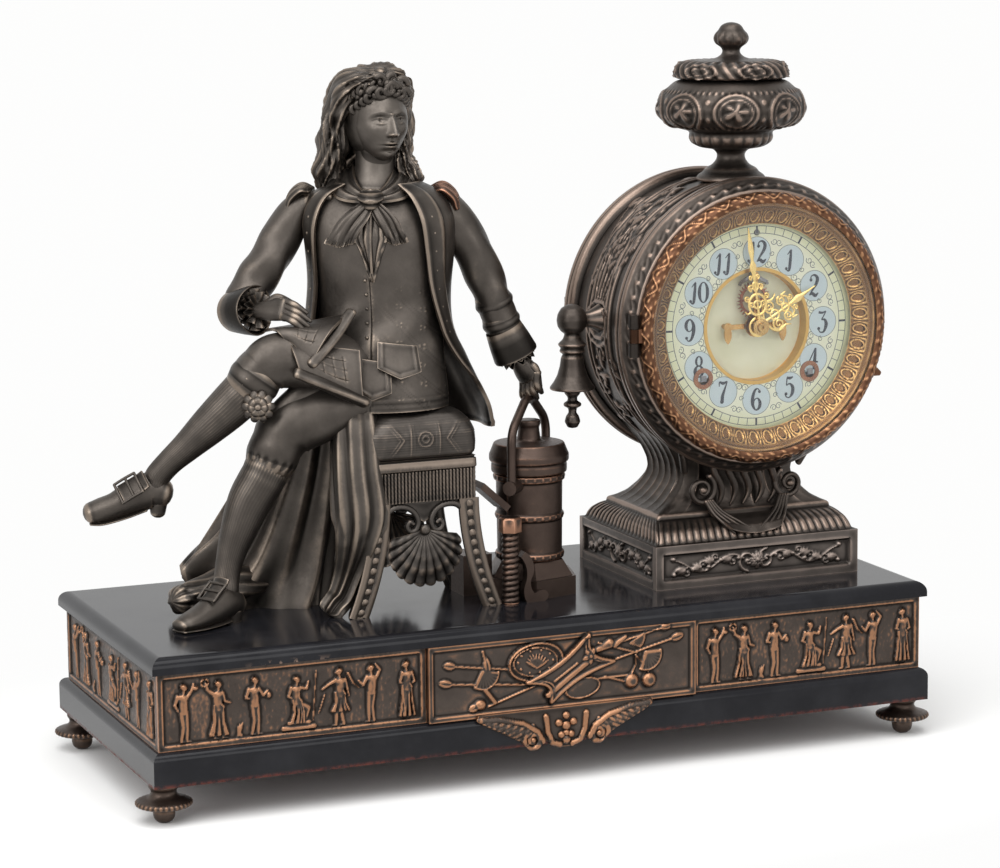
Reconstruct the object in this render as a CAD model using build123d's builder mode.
"""Figural mantel clock: a seated bronze figure and a drum clock on a black enamelled base.

Millimetres, +Z up, +X to the right of someone facing the dial, -Y towards them.
The origin is on the table under the middle of the base.
"""

import os
from math import acos, cos, degrees, pi, radians, sin

from build123d import *

# Base
BASE_LENGTH = 470.0
BASE_DEPTH = 189.0
FOOT_HEIGHT = 22.6
FOOT_RADIUS = 16.0
FOOT_INSET = 5.0
FOOT_SPIGOT_RADIUS = 4.0
FOOT_SPIGOT_LENGTH = 6.0
PLINTH_HEIGHT = 19.1
PLINTH_OVERHANG = 4.2
PLINTH_ROUND = 5.0
FRIEZE_HEIGHT = 43.5
FRIEZE_PLATE = 2.5
FRIEZE_BORDER = 3.0
FRIEZE_SINK = 1.2
TOP_THICKNESS = 9.0
TOP_OVERHANG = 3.4
TOP_ROUND = 6.2
PLAQUE_X = 3.2
PLAQUE_WIDTH = 165.0
PLAQUE_PROUD = 3.6
APRON_WIDTH = 108.0
APRON_DROP = 21.0
APRON_THICKNESS = 3.2
SEAT_GAP = 0.3

# Clock case
CLOCK_X = 148.0
DIAL_ABOVE_BASE = 152.6
CLOCK_PLINTH_WIDTH = 134.0
CLOCK_PLINTH_DEPTH = 110.0
CLOCK_PLINTH_HEIGHT = 26.2
PANEL_BORDER = 5.0
PANEL_SINK = 2.0
SHOULDER_INSET = 3.0
SHOULDER_HEIGHT = 11.6
SHOULDER_ROUND = 11.0
NECK_SLAB_WIDTH = 115.0
NECK_SLAB_DEPTH = 74.0
NECK_SLAB_HEIGHT = 3.0
NECK_WAIST_WIDTH = 76.0
NECK_WAIST_FRONT = 30.0
NECK_WAIST_BACK = 26.0
NECK_WAIST_RISE = 20.0
DRUM_RADIUS = 83.0
DRUM_WALL = 3.0
DRUM_BACK_Y = 30.0
DRUM_FRONT_Y = -50.0
BACK_RIM_RADIUS = 88.3
FRONT_RIM_RADIUS = 87.5
RIM_WIDTH = 9.0
RIM_SLOPE = 4.0
BAND_DEPTH = 7.5
BAND_INNER_RADIUS = 80.5
FRONT_OPENING_RADIUS = 68.0
BACK_OPENING_RADIUS = 76.0

# Urn and side drops
URN_Y = -17.6
URN_FOOT_RADIUS = 25.0
URN_STEM_RADIUS = 9.0
URN_BULGE_RADIUS = 48.3
URN_LID_RADIUS = 36.4
URN_KNOB_RADIUS = 11.0
DROP_REACH = 17.1
BOSS_REACH = 7.0
DROP_Y = -10.0
DROP_RISE = 4.6
BELL_RADIUS = 13.5

# Bezel and rear cover
BEZEL_RADIUS = 79.5
BEZEL_SIGHT_RADIUS = 72.7
BEZEL_DEPTH = 8.2
BEZEL_GAP = 0.3
GLASS_RADIUS = 74.2
GLASS_THICKNESS = 2.0
GLASS_LIP = 1.5
TRIM_INNER_RADIUS = 60.7
TRIM_WALL = 1.2
HINGE_BARREL_RADIUS = 3.0
HINGE_PIN_RADIUS = 1.2
HINGE_BARREL_LENGTH = 8.0
RUNNING_CLEARANCE = 0.05
COVER_RADIUS = 79.0
COVER_THICKNESS = 1.5

# Dial and movement
DIAL_Y = -51.0
DIAL_RADIUS = 66.0
DIAL_THICKNESS = 2.6
PAN_RADIUS = 78.0
PAN_THICKNESS = 1.2
WELL_RADIUS = 32.6
WELL_WALL = 0.8
WELL_DEPTH = 7.0
CENTRE_RADIUS = 36.0
CENTRE_THICKNESS = 1.0
WIND_X = 35.0
WIND_DROP = 29.0
GROMMET_RADIUS = 5.1
GROMMET_BORE = 3.6
ARBOR_RADIUS = 2.6
REGULATOR_RISE = 55.2
REGULATOR_RADIUS = 1.6
PLATE_WIDTH = 98.0
PLATE_TOP = 44.0
PLATE_BOTTOM = -52.0
PLATE_THICKNESS = 2.0
FRONT_PLATE_Y = -36.0
PLATE_SPACING = 36.0
PILLAR_RADIUS = 3.0
PILLAR_INSET = 5.0
POST_RADIUS = 2.5
MAINSPRING_RADIUS = 15.0
MAINSPRING_WIDTH = 16.0
GEAR_MODULE = 0.5
CANNON_LEAVES = 10
MINUTE_WHEEL_TEETH = 30
MINUTE_PINION_LEAVES = 8
HOUR_WHEEL_TEETH = 32
GEAR_THICKNESS = 1.2
CENTRE_ARBOR_RADIUS = 1.2
HOUR_PIPE_RADIUS = 3.0
HOUR_HAND_LENGTH = 43.4
MINUTE_HAND_LENGTH = 59.0
HAND_THICKNESS = 0.8
HOUR_HAND_ANGLE = 59.3
MINUTE_HAND_ANGLE = -8.0
ESCAPE_RISE = 15.0
ESCAPE_RADIUS = 11.0
ESCAPE_TEETH = 30
PALLET_RISE = 30.0
PALLET_RADIUS = 0.8
PALLET_CLEARANCE = 1.1
PENDULUM_LENGTH = 78.0
BOB_RADIUS = 14.0
GONG_RADIUS = 46.0
GONG_WIRE = 1.4
GONG_PITCH = 6.0
GONG_HALF_TURNS = 5

# Stool
STOOL_X = -61.0
STOOL_Y = -19.0
STOOL_WIDTH = 64.0
STOOL_DEPTH = 62.0
STOOL_LEG_HEIGHT = 64.0
STOOL_LEG_THICKNESS = 8.0
STOOL_LEG_WIDTH = 10.0
STOOL_LEG_SPLAY = 14.0
FRINGE_HEIGHT = 18.0
RAIL_HEIGHT = 7.0
CUSHION_HEIGHT = 28.0
CUSHION_SINK = 3.0
SHELL_RADIUS = 22.0
SHELL_LOBES = 9
SHELL_DROP = 24.0

# Boiler group
BOILER_X = 15.5
BOILER_Y = -20.0
BOILER_RADIUS = 19.0
BOILER_BASE_RADIUS = 29.0
BOILER_BASE_HEIGHT = 20.0
BOILER_HEIGHT = 51.0
BOILER_LID_RADIUS = 23.5
BOILER_LID_HEIGHT = 18.0
BAIL_RISE = 48.0
BAIL_RADIUS = 2.6
BAIL_GAP = 0.8
SCREW_X = -8.5
SCREW_Y = -48.0
SCREW_RADIUS = 5.2
SCREW_HEIGHT = 51.0

# Levels and places that follow from the sizes above
PLINTH_Z = FOOT_HEIGHT + PLINTH_HEIGHT
FRIEZE_Z = PLINTH_Z + FRIEZE_HEIGHT
TOP_Z = FRIEZE_Z + TOP_THICKNESS
PLINTH_LENGTH = BASE_LENGTH + 2 * PLINTH_OVERHANG
PLINTH_DEPTH = BASE_DEPTH + 2 * PLINTH_OVERHANG
TOP_LENGTH = BASE_LENGTH + 2 * TOP_OVERHANG
TOP_DEPTH = BASE_DEPTH + 2 * TOP_OVERHANG
FRONT_Y = -BASE_DEPTH / 2
DIAL_Z = TOP_Z + DIAL_ABOVE_BASE
SHOULDER_Z = TOP_Z + CLOCK_PLINTH_HEIGHT
SLAB_Z = SHOULDER_Z + SHOULDER_HEIGHT
NECK_Z = SLAB_Z + NECK_SLAB_HEIGHT
DRUM_BORE = DRUM_RADIUS - DRUM_WALL
CASE_FRONT_Y = DRUM_FRONT_Y - BAND_DEPTH
PAN_Y = DIAL_Y + DIAL_THICKNESS
BACK_PLATE_Y = FRONT_PLATE_Y + PLATE_THICKNESS + PLATE_SPACING
STOOL_RAIL_Z = TOP_Z + STOOL_LEG_HEIGHT + FRINGE_HEIGHT
CUSHION_Z = STOOL_RAIL_Z + RAIL_HEIGHT
SEAT_Z = CUSHION_Z + CUSHION_HEIGHT - CUSHION_SINK
CLOCK_AXIS = Axis((CLOCK_X, 0, DIAL_Z), (0, 1, 0))


def facing_front(y):
    """A plane at depth y that faces the viewer, with its own Y up."""
    return Plane.XZ.offset(-y)


def dial_plane(y, rise=0.0, across=0.0):
    """A plane facing the viewer, centred on the dial or beside it."""
    return Plane(origin=(CLOCK_X + across, y, DIAL_Z + rise), x_dir=(1, 0, 0), z_dir=(0, -1, 0))


def outline(stations):
    """Close an outline of (x, y, bulge): the arc to the next station bulges to the right of the way."""
    with BuildSketch(mode=Mode.PRIVATE) as face:
        with BuildLine():
            for (x0, y0, bulge), (x1, y1, _) in zip(stations, stations[1:] + stations[:1]):
                if bulge:
                    SagittaArc((x0, y0), (x1, y1), -bulge)
                else:
                    Line((x0, y0), (x1, y1))
        make_face()
    return face.sketch


def turned(stations, x, y, z=0.0):
    """Turn an outline of (radius, height, bulge) about an upright axis."""
    with BuildPart() as piece:
        with BuildSketch(Plane(origin=(x, y, z), x_dir=(1, 0, 0), z_dir=(0, -1, 0))):
            add(outline(stations))
        revolve(axis=Axis((x, y, 0), (0, 0, 1)))
    return piece.part


def turned_on_clock(stations):
    """Turn an outline of (radius, depth y, bulge) about the dial axis."""
    with BuildPart() as piece:
        with BuildSketch(Plane(origin=(CLOCK_X, 0, DIAL_Z), x_dir=(1, 0, 0), z_dir=(0, 0, 1))):
            add(outline(stations))
        revolve(axis=CLOCK_AXIS)
    return piece.part


def limb(stations, across=(0.38, 0.92, 0.0)):
    """Loft ellipses of (centre, half width, half depth) along a limb."""
    points = [Vector(*centre) for centre, _, _ in stations]
    with BuildPart() as piece:
        for index, (centre, half_width, half_depth) in enumerate(stations):
            along = points[min(index + 1, len(points) - 1)] - points[max(index - 1, 0)]
            side = Vector(*across).cross(along)
            with BuildSketch(Plane(origin=centre, x_dir=side, z_dir=along)):
                Ellipse(half_width, half_depth)
        loft()
    return piece.part


def less(solid, *others):
    """Cut a piece back to its neighbours, so that they meet face to face."""
    with BuildPart() as piece:
        add(solid)
        for other in others:
            add(other, mode=Mode.SUBTRACT)
    return piece.part


def gear_outline(teeth, phase):
    """Straight-flanked teeth on a pitch circle, thin enough to run with backlash."""
    pitch_radius = teeth * GEAR_MODULE / 2
    tip = pitch_radius + 0.9 * GEAR_MODULE
    root = pitch_radius - 1.25 * GEAR_MODULE
    step = 360.0 / teeth
    flank = ((root, -0.27), (tip, -0.09), (tip, 0.09), (root, 0.27))
    points = []
    for tooth in range(teeth):
        for radius, share in flank:
            angle = radians(phase + step * (tooth + share))
            points.append((radius * cos(angle), radius * sin(angle)))
    return points


# Base: plinth, core, moulded top and turned feet
with BuildPart() as base_plinth:
    with BuildSketch(Plane.XY.offset(FOOT_HEIGHT)):
        Rectangle(PLINTH_LENGTH, PLINTH_DEPTH)
    extrude(amount=PLINTH_HEIGHT)
    fillet(base_plinth.edges().group_by(Axis.Z)[-1], PLINTH_ROUND)
    with BuildSketch(Plane.XY.offset(FOOT_HEIGHT)):
        with GridLocations(BASE_LENGTH - 2 * FOOT_INSET, BASE_DEPTH - 4 * FOOT_INSET, 2, 2):
            Circle(FOOT_SPIGOT_RADIUS + RUNNING_CLEARANCE)
    extrude(amount=FOOT_SPIGOT_LENGTH + SEAT_GAP, mode=Mode.SUBTRACT)

foot = turned(
    [
        (0, 0, 0),
        (3.0, 0, 1.2),
        (6.2, 6.0, 0.9),
        (5.0, 9.0, 0),
        (FOOT_RADIUS - 2.0, 9.4, 0.6),
        (FOOT_RADIUS, 11.0, 0.6),
        (FOOT_RADIUS - 2.0, 12.6, -0.8),
        (7.0, 16.0, -0.5),
        (8.5, FOOT_HEIGHT, 0),
        (FOOT_SPIGOT_RADIUS, FOOT_HEIGHT, 0),
        (FOOT_SPIGOT_RADIUS, FOOT_HEIGHT + FOOT_SPIGOT_LENGTH, 0),
        (0, FOOT_HEIGHT + FOOT_SPIGOT_LENGTH, 0),
    ],
    0,
    0,
)
with BuildPart() as feet:
    with GridLocations(BASE_LENGTH - 2 * FOOT_INSET, BASE_DEPTH - 4 * FOOT_INSET, 2, 2):
        add(foot)

with BuildPart() as base_core:
    with BuildSketch(Plane.XY.offset(PLINTH_Z)):
        with Locations((0, FRIEZE_PLATE / 2)):
            Rectangle(BASE_LENGTH - 2 * FRIEZE_PLATE, BASE_DEPTH - FRIEZE_PLATE)
    extrude(amount=FRIEZE_HEIGHT)

with BuildPart() as base_top:
    with BuildSketch(Plane.XY.offset(FRIEZE_Z)):
        Rectangle(TOP_LENGTH, TOP_DEPTH)
    extrude(amount=TOP_THICKNESS)
    fillet(base_top.edges().group_by(Axis.Z)[-1], TOP_ROUND)


def front_frieze(left, right):
    """A cast frieze plate on the front, with a sunk field inside a plain border."""
    middle = (left + right) / 2
    with BuildPart() as plate:
        with BuildSketch(facing_front(FRONT_Y + FRIEZE_PLATE)):
            with Locations((middle, PLINTH_Z + FRIEZE_HEIGHT / 2)):
                Rectangle(right - left, FRIEZE_HEIGHT)
        extrude(amount=FRIEZE_PLATE)
        with BuildSketch(facing_front(FRONT_Y)):
            with Locations((middle, PLINTH_Z + FRIEZE_HEIGHT / 2)):
                Rectangle(right - left - 2 * FRIEZE_BORDER, FRIEZE_HEIGHT - 2 * FRIEZE_BORDER)
        extrude(amount=-FRIEZE_SINK, mode=Mode.SUBTRACT)
    return plate.part


PLAQUE_LEFT = PLAQUE_X - PLAQUE_WIDTH / 2
PLAQUE_RIGHT = PLAQUE_X + PLAQUE_WIDTH / 2
with BuildPart() as front_friezes:
    add(front_frieze(-BASE_LENGTH / 2, PLAQUE_LEFT))
    add(front_frieze(PLAQUE_RIGHT, BASE_LENGTH / 2))

with BuildPart() as side_friezes:
    with BuildSketch(Plane.YZ.offset(-BASE_LENGTH / 2)):
        with Locations((FRIEZE_PLATE / 2, PLINTH_Z + FRIEZE_HEIGHT / 2)):
            Rectangle(BASE_DEPTH - FRIEZE_PLATE, FRIEZE_HEIGHT)
    extrude(amount=FRIEZE_PLATE)
    with BuildSketch(Plane.YZ.offset(-BASE_LENGTH / 2)):
        with Locations((FRIEZE_PLATE / 2, PLINTH_Z + FRIEZE_HEIGHT / 2)):
            Rectangle(BASE_DEPTH - FRIEZE_PLATE - 2 * FRIEZE_BORDER, FRIEZE_HEIGHT - 2 * FRIEZE_BORDER)
    extrude(amount=FRIEZE_SINK, mode=Mode.SUBTRACT)
    mirror(about=Plane.YZ)

# Trophy plaque with a scrolled apron that hangs in front of the plinth
APRON_Y = -PLINTH_DEPTH / 2 - SEAT_GAP
HALF_APRON = APRON_WIDTH / 2
with BuildPart() as trophy_plaque:
    with BuildSketch(facing_front(FRONT_Y + FRIEZE_PLATE)):
        with Locations((PLAQUE_X, PLINTH_Z + FRIEZE_HEIGHT / 2)):
            Rectangle(PLAQUE_WIDTH, FRIEZE_HEIGHT)
    extrude(amount=FRIEZE_PLATE + PLAQUE_PROUD)
    with BuildSketch(facing_front(APRON_Y)):
        with Locations((PLAQUE_X, PLINTH_Z)):
            add(
                outline(
                    [
                        (HALF_APRON, 2.0, 0),
                        (-HALF_APRON, 2.0, 3.0),
                        (-0.55 * HALF_APRON, -0.42 * APRON_DROP, -1.5),
                        (-0.30 * HALF_APRON, -0.80 * APRON_DROP, 2.0),
                        (0, -APRON_DROP, 2.0),
                        (0.30 * HALF_APRON, -0.80 * APRON_DROP, -1.5),
                        (0.55 * HALF_APRON, -0.42 * APRON_DROP, 3.0),
                    ]
                )
            )
    extrude(amount=APRON_THICKNESS)
    with BuildSketch(facing_front(FRONT_Y)):
        with Locations((PLAQUE_X, PLINTH_Z)):
            Rectangle(APRON_WIDTH, 2.0, align=(Align.CENTER, Align.MIN))
    extrude(amount=FRONT_Y - APRON_Y + APRON_THICKNESS)
    with BuildSketch(facing_front(FRONT_Y - PLAQUE_PROUD)):
        with Locations((PLAQUE_X, PLINTH_Z + FRIEZE_HEIGHT / 2)):
            Rectangle(PLAQUE_WIDTH - 2 * FRIEZE_BORDER, FRIEZE_HEIGHT - 2 * FRIEZE_BORDER)
    extrude(amount=-FRIEZE_SINK, mode=Mode.SUBTRACT)

# Clock case: panelled plinth, rounded shoulder, waisted neck and drum
with BuildPart() as clock_plinth:
    with BuildSketch(Plane.XY.offset(TOP_Z)):
        with Locations((CLOCK_X, 0)):
            Rectangle(CLOCK_PLINTH_WIDTH, CLOCK_PLINTH_DEPTH)
    extrude(amount=CLOCK_PLINTH_HEIGHT)
    for face in clock_plinth.faces().filter_by(Axis.Z, reverse=True):
        with BuildSketch(face):
            length = max(face.bounding_box().size.X, face.bounding_box().size.Y)
            panel = (length - 2 * PANEL_BORDER, CLOCK_PLINTH_HEIGHT - 2 * PANEL_BORDER)
            upright = abs(Plane(face).x_dir.Z) > 0.5
            Rectangle(*(panel[::-1] if upright else panel))
        extrude(amount=-PANEL_SINK, mode=Mode.SUBTRACT)

drum_outside = [
    (0, DRUM_BACK_Y, 0),
    (BACK_RIM_RADIUS, DRUM_BACK_Y, 0),
    (BACK_RIM_RADIUS, DRUM_BACK_Y - RIM_WIDTH, 0),
    (DRUM_RADIUS, DRUM_BACK_Y - RIM_WIDTH - RIM_SLOPE, 0),
    (DRUM_RADIUS, DRUM_FRONT_Y + RIM_WIDTH + RIM_SLOPE, 0),
    (FRONT_RIM_RADIUS, DRUM_FRONT_Y + RIM_WIDTH, 0),
    (FRONT_RIM_RADIUS, DRUM_FRONT_Y, 0),
    (BAND_INNER_RADIUS, CASE_FRONT_Y, 0),
    (0, CASE_FRONT_Y, 0),
]
drum_envelope = turned_on_clock(drum_outside)
drum_shell = turned_on_clock(
    drum_outside[1:8]
    + [
        (FRONT_OPENING_RADIUS, CASE_FRONT_Y, 0),
        (FRONT_OPENING_RADIUS, CASE_FRONT_Y + DRUM_WALL, 0),
        (DRUM_BORE, CASE_FRONT_Y + DRUM_WALL, 0),
        (DRUM_BORE, PAN_Y + PAN_THICKNESS, 0),
        (PAN_RADIUS - 2 * DRUM_WALL, PAN_Y + PAN_THICKNESS, 0),
        (PAN_RADIUS - 2 * DRUM_WALL, PAN_Y + PAN_THICKNESS + DRUM_WALL, 0),
        (DRUM_BORE, PAN_Y + PAN_THICKNESS + DRUM_WALL, 0),
        (DRUM_BORE, DRUM_BACK_Y - DRUM_WALL, 0),
        (BACK_OPENING_RADIUS, DRUM_BACK_Y - DRUM_WALL, 0),
        (BACK_OPENING_RADIUS, DRUM_BACK_Y, 0),
    ]
)

# Hinge lines of the glazed bezel (left) and of the rear cover (left, behind)
BEZEL_BACK_Y = CASE_FRONT_Y - BEZEL_GAP
BEZEL_FRONT_Y = BEZEL_BACK_Y - BEZEL_DEPTH
BEZEL_HINGE_X = CLOCK_X - BEZEL_RADIUS - HINGE_BARREL_RADIUS - 0.6
BEZEL_HINGE_Y = BEZEL_BACK_Y - HINGE_BARREL_RADIUS + 0.8
COVER_Y = DRUM_BACK_Y + BEZEL_GAP
COVER_HINGE_X = CLOCK_X - COVER_RADIUS - HINGE_BARREL_RADIUS - 0.6
COVER_HINGE_Y = DRUM_BACK_Y + BEZEL_GAP + HINGE_BARREL_RADIUS


def hinge_barrel(x, y, low, high):
    """One knuckle about an upright hinge line, measured from dial height."""
    with BuildPart() as barrel:
        with BuildSketch(Plane.XY.offset(DIAL_Z + low)):
            with Locations((x, y)):
                Circle(HINGE_BARREL_RADIUS)
        extrude(amount=high - low)
    return barrel.part


def hinge_bore(x, y, radius):
    """The pin line through all knuckles of one hinge."""
    with BuildPart() as bore:
        with BuildSketch(Plane.XY.offset(DIAL_Z - 2 * HINGE_BARREL_LENGTH)):
            with Locations((x, y)):
                Circle(radius)
        extrude(amount=4 * HINGE_BARREL_LENGTH)
    return bore.part


KNUCKLE_LOW = HINGE_BARREL_LENGTH / 2 + SEAT_GAP
KNUCKLE_HIGH = KNUCKLE_LOW + HINGE_BARREL_LENGTH
KNUCKLE_BEHIND = (Align.CENTER, Align.MIN)
KNUCKLE_AHEAD = (Align.CENTER, Align.MAX)
with BuildPart() as drum_case:
    add(drum_shell)
    for low, high in ((-KNUCKLE_HIGH, -KNUCKLE_LOW), (KNUCKLE_LOW, KNUCKLE_HIGH)):
        add(hinge_barrel(BEZEL_HINGE_X, BEZEL_HINGE_Y, low, high))
        add(hinge_barrel(COVER_HINGE_X, COVER_HINGE_Y, low, high))
        with BuildSketch(Plane.XY.offset(DIAL_Z + low)):
            with Locations((BEZEL_HINGE_X, BEZEL_HINGE_Y)):
                Rectangle(2 * HINGE_BARREL_RADIUS, DRUM_FRONT_Y - BEZEL_HINGE_Y, align=KNUCKLE_BEHIND)
            with Locations((COVER_HINGE_X, COVER_HINGE_Y)):
                Rectangle(2 * HINGE_BARREL_RADIUS, COVER_HINGE_Y - DRUM_BACK_Y + 1.0, align=KNUCKLE_AHEAD)
        extrude(amount=high - low)
    add(hinge_bore(BEZEL_HINGE_X, BEZEL_HINGE_Y, HINGE_PIN_RADIUS), mode=Mode.SUBTRACT)
    add(hinge_bore(COVER_HINGE_X, COVER_HINGE_Y, HINGE_PIN_RADIUS), mode=Mode.SUBTRACT)


def hinge_pin(x, y):
    """A plain pin that fills both outer knuckles."""
    with BuildPart() as pin:
        with BuildSketch(Plane.XY.offset(DIAL_Z - KNUCKLE_HIGH)):
            with Locations((x, y)):
                Circle(HINGE_PIN_RADIUS)
        extrude(amount=2 * KNUCKLE_HIGH)
    return pin.part


with BuildPart() as hinge_pins:
    add(hinge_pin(BEZEL_HINGE_X, BEZEL_HINGE_Y))
    add(hinge_pin(COVER_HINGE_X, COVER_HINGE_Y))

NECK_TOP_Z = DIAL_Z - DRUM_RADIUS + 22.0
NECK_WAIST_Z = NECK_Z + NECK_WAIST_RISE
HALF_SLAB = NECK_SLAB_WIDTH / 2
HALF_WAIST = NECK_WAIST_WIDTH / 2
HALF_SLAB_DEPTH = NECK_SLAB_DEPTH / 2
with BuildPart() as neck_blank:
    with BuildSketch(facing_front(NECK_SLAB_DEPTH)):
        with BuildLine():
            right_side = ThreePointArc(
                (CLOCK_X + HALF_SLAB - 3.0, NECK_Z),
                (CLOCK_X + HALF_WAIST, NECK_WAIST_Z),
                (CLOCK_X + HALF_WAIST + 20.0, NECK_TOP_Z),
            )
            left_side = ThreePointArc(
                (CLOCK_X - HALF_SLAB + 3.0, NECK_Z),
                (CLOCK_X - HALF_WAIST, NECK_WAIST_Z),
                (CLOCK_X - HALF_WAIST - 20.0, NECK_TOP_Z),
            )
            Line(left_side @ 0, right_side @ 0)
            Line(left_side @ 1, right_side @ 1)
        make_face()
    extrude(amount=2 * NECK_SLAB_DEPTH)
    with BuildSketch(Plane.YZ.offset(CLOCK_X - NECK_SLAB_WIDTH)):
        with BuildLine():
            front = ThreePointArc(
                (-HALF_SLAB_DEPTH + 3.0, NECK_Z),
                (-NECK_WAIST_FRONT, NECK_WAIST_Z),
                (DRUM_FRONT_Y + 2.0, NECK_TOP_Z - 4.0),
            )
            back = ThreePointArc(
                (HALF_SLAB_DEPTH - 3.0, NECK_Z),
                (NECK_WAIST_BACK, NECK_WAIST_Z),
                (DRUM_BACK_Y - 1.0, NECK_TOP_Z - 4.0),
            )
            Line(front @ 0, back @ 0)
            Line(front @ 1, back @ 1)
        make_face()
    extrude(amount=2 * NECK_SLAB_WIDTH, mode=Mode.INTERSECT)
    with BuildSketch(Plane.XY.offset(SLAB_Z)):
        with Locations((CLOCK_X, 0)):
            Rectangle(NECK_SLAB_WIDTH, NECK_SLAB_DEPTH)
    extrude(amount=NECK_SLAB_HEIGHT)

with BuildPart() as pedestal_shoulder:
    with BuildSketch(Plane.XY.offset(SHOULDER_Z)):
        with Locations((CLOCK_X, 0)):
            Rectangle(CLOCK_PLINTH_WIDTH - 2 * SHOULDER_INSET, CLOCK_PLINTH_DEPTH - 2 * SHOULDER_INSET)
    extrude(amount=SHOULDER_HEIGHT)
    fillet(pedestal_shoulder.edges().group_by(Axis.Z)[-1], SHOULDER_ROUND)

with BuildPart() as clock_pedestal:
    add(pedestal_shoulder.part)
    add(neck_blank.part)
    add(drum_envelope, mode=Mode.SUBTRACT)

# Urn on the drum: bowl on a foot saddled to the curve, and a lid with its knob
URN_FOOT_Z = DIAL_Z + DRUM_RADIUS
URN_FOOT_SKIRT = 14.0
URN_BOWL_HEIGHT = 60.2
urn_bowl = less(
    turned(
        [
            (0, -URN_FOOT_SKIRT, 0),
            (URN_FOOT_RADIUS, -URN_FOOT_SKIRT, 0),
            (URN_FOOT_RADIUS, 0, 1.0),
            (URN_FOOT_RADIUS - 3.0, 2.5, -2.0),
            (URN_STEM_RADIUS, 11.2, -1.0),
            (URN_STEM_RADIUS + 3.0, 17.0, 0),
            (URN_STEM_RADIUS + 18.0, 21.0, 1.0),
            (URN_BULGE_RADIUS - 18.0, 30.0, 0.5),
            (URN_BULGE_RADIUS - 2.5, 39.0, 2.0),
            (URN_BULGE_RADIUS - 2.5, 50.0, 1.5),
            (URN_LID_RADIUS, 56.0, 0),
            (URN_LID_RADIUS, URN_BOWL_HEIGHT, 0),
            (0, URN_BOWL_HEIGHT, 0),
        ],
        CLOCK_X,
        URN_Y,
        URN_FOOT_Z,
    ),
    drum_envelope,
)
urn_lid = turned(
    [
        (0, 0, 0),
        (URN_LID_RADIUS, 0, 0.5),
        (URN_LID_RADIUS - 0.4, 5.0, 0.8),
        (URN_LID_RADIUS - 5.0, 10.0, 0.6),
        (6.3, 12.0, -0.8),
        (6.0, 16.0, 0),
        (URN_KNOB_RADIUS - 2.0, 18.0, 1.6),
        (URN_KNOB_RADIUS - 1.0, 27.5, 1.4),
        (2.0, 32.6, 0),
        (0, 33.0, 0),
    ],
    CLOCK_X,
    URN_Y,
    URN_FOOT_Z + URN_BOWL_HEIGHT,
)

# Bell-shaped drop on its boss at the left, and a bare boss at the right
DROP_X = CLOCK_X - DRUM_RADIUS - DROP_REACH
DROP_Z = DIAL_Z + DROP_RISE
drop_bell = turned(
    [
        (0, -64.0, 0),
        (1.6, -63.6, 0.8),
        (4.2, -60.0, 1.0),
        (2.6, -55.0, 0),
        (5.4, -52.0, 0.4),
        (5.4, -50.5, 0),
        (3.0, -46.5, 0),
        (BELL_RADIUS, -45.0, 0.5),
        (BELL_RADIUS, -43.5, -3.0),
        (4.6, -17.0, 0),
        (6.0, -15.0, 0.4),
        (6.0, -13.0, 0),
        (3.6, -8.0, 0),
        (6.4, -3.0, 1.4),
        (4.6, 5.0, 0.4),
        (1.2, 6.5, 0),
        (0, 6.6, 0),
    ],
    DROP_X,
    DROP_Y,
    DROP_Z,
)


def drop_boss(reach):
    """A tapered boss on the side of the drum, standing out by reach."""
    with BuildPart() as boss:
        with BuildSketch(Plane(origin=(CLOCK_X - DRUM_RADIUS - reach, DROP_Y, DROP_Z), z_dir=(1, 0, 0))):
            Circle(4.0)
        with BuildSketch(Plane(origin=(CLOCK_X - DRUM_RADIUS + 3.0, DROP_Y, DROP_Z), z_dir=(1, 0, 0))):
            Circle(11.0)
        loft()
    return boss.part


with BuildPart() as left_drop:
    add(drop_bell)
    add(drop_boss(DROP_REACH))
    add(drum_envelope, mode=Mode.SUBTRACT)
with BuildPart() as right_boss:
    add(less(drop_boss(BOSS_REACH), drum_envelope))
    mirror(about=Plane.YZ.offset(CLOCK_X), mode=Mode.REPLACE)
side_drop = [left_drop.part, right_boss.part]

# Glazed bezel: cast ring, glass in its rabbet, pressed sight ring behind the glass
GLASS_FRONT_Y = BEZEL_FRONT_Y + GLASS_LIP
TRIM_FRONT_Y = GLASS_FRONT_Y + GLASS_THICKNESS
TRIM_BACK_Y = DIAL_Y - 3.3
bezel_blank = turned_on_clock(
    [
        (BEZEL_SIGHT_RADIUS, BEZEL_FRONT_Y, 0),
        (BEZEL_RADIUS - 2.5, BEZEL_FRONT_Y, 0.9),
        (BEZEL_RADIUS, BEZEL_FRONT_Y + 3.0, 0),
        (BEZEL_RADIUS, BEZEL_BACK_Y, 0),
        (GLASS_RADIUS + RUNNING_CLEARANCE, BEZEL_BACK_Y, 0),
        (GLASS_RADIUS + RUNNING_CLEARANCE, GLASS_FRONT_Y, 0),
        (BEZEL_SIGHT_RADIUS, GLASS_FRONT_Y, 0),
    ]
)
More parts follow.
